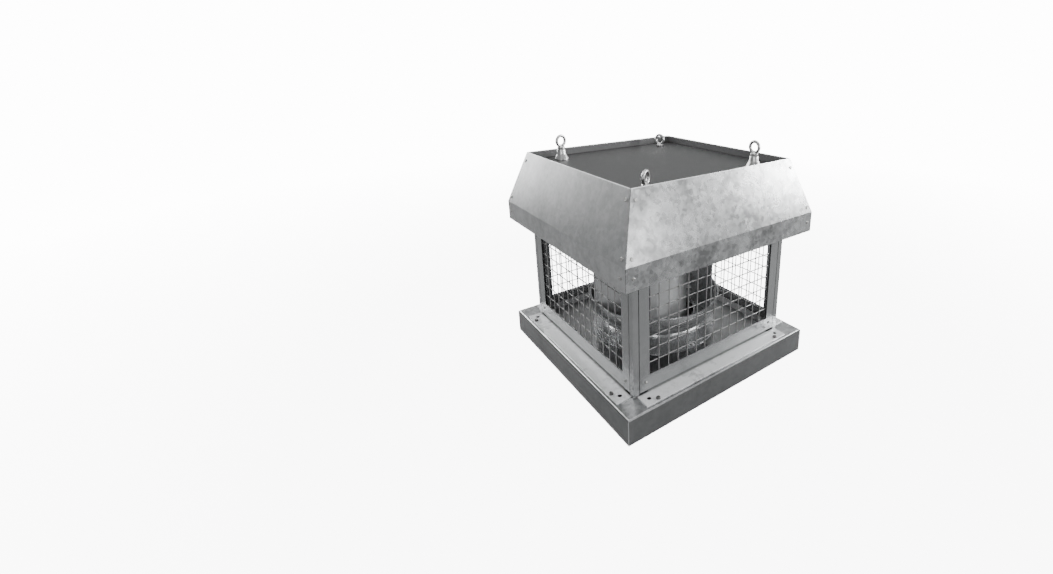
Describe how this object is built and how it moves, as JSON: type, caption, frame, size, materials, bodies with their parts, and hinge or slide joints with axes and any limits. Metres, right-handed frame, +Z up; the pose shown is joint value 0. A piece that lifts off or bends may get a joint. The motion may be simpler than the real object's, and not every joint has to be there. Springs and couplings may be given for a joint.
{
  "type": "exhaust hood fan",
  "caption": "Square roof-mounted exhaust fan: curb base, mesh-guarded cage, backward-curved wheel on an external-rotor motor, and a sloped hood with lifting eyes.",
  "frame": {"origin": "centre of the base's lower edge, on the surface the base rests on", "axes": "+Z up along the wheel's axis, -Y towards the front guard, +X towards the right guard"},
  "size_m": [0.6044, 0.6044, 0.611],
  "materials": {
    "galvanised_sheet": "satin, with a faint zinc spangle",
    "galvanised_wire": "matt zinc",
    "zinc_plated_steel": "bright zinc plate",
    "cast_aluminium": "fine cast",
    "bearing_steel": "ground",
    "winding": "varnished winding",
    "grey_plastic": "moulded",
    "white_plastic": "moulded"
  },
  "bodies": {
    "fan_frame": {"base_tray": "galvanised_sheet", "bracket_bolts": "zinc_plated_steel", "cable_gland": "grey_plastic", "corner_post_back_left": "galvanised_sheet", "corner_post_back_right": "galvanised_sheet", "corner_post_front_left": "galvanised_sheet", "corner_post_front_right": "galvanised_sheet", "eye_feet": "zinc_plated_steel", "guard_frame_back": "galvanised_sheet", "guard_frame_front": "galvanised_sheet", "guard_frame_left": "galvanised_sheet", "guard_frame_right": "galvanised_sheet", "guard_mesh_back": "galvanised_wire", "guard_mesh_front": "galvanised_wire", "guard_mesh_left": "galvanised_wire", "guard_mesh_right": "galvanised_wire", "guard_screws": "zinc_plated_steel", "hip_strip_back_left": "galvanised_sheet", "hip_strip_back_right": "galvanised_sheet", "hip_strip_front_left": "galvanised_sheet", "hip_strip_front_right": "galvanised_sheet", "hood_bracket_back_left": "galvanised_sheet", "hood_bracket_back_right": "galvanised_sheet", "hood_bracket_front_left": "galvanised_sheet", "hood_bracket_front_right": "galvanised_sheet", "hood_panel_back": "galvanised_sheet", "hood_panel_front": "galvanised_sheet", "hood_panel_left": "galvanised_sheet", "hood_panel_right": "galvanised_sheet", "hood_screws": "zinc_plated_steel", "inlet_nozzle": "galvanised_sheet", "lifting_eye_back_left": "zinc_plated_steel", "lifting_eye_back_right": "zinc_plated_steel", "lifting_eye_front_left": "zinc_plated_steel", "lifting_eye_front_right": "zinc_plated_steel", "lifting_rods": "zinc_plated_steel", "lower_bearing": "bearing_steel", "motor_bolts": "zinc_plated_steel", "motor_flange": "cast_aluminium", "motor_plate": "galvanised_sheet", "nozzle_screws": "zinc_plated_steel", "run_capacitor": "white_plastic", "sill_back": "galvanised_sheet", "sill_bolts": "zinc_plated_steel", "sill_front": "galvanised_sheet", "sill_left": "galvanised_sheet", "sill_right": "galvanised_sheet", "skirt_screws": "zinc_plated_steel", "stator_winding": "winding", "terminal_box": "grey_plastic", "terminal_box_lid": "grey_plastic", "top_deck": "galvanised_sheet", "upper_bearing": "bearing_steel"},
    "fan_wheel": {"motor_shaft": "bearing_steel", "rotor_can": "cast_aluminium", "rotor_screws": "zinc_plated_steel", "wheel_back_plate": "galvanised_sheet", "wheel_blades": "galvanised_sheet", "wheel_shroud": "galvanised_sheet"}
  },
  "joints": [
    {"name": "wheel_spin", "type": "hinge", "parent": "fan_frame", "child": "fan_wheel", "pos_m": [0, 0, 0.3], "axis": [0, 0, 1], "continuous": true}
  ]
}
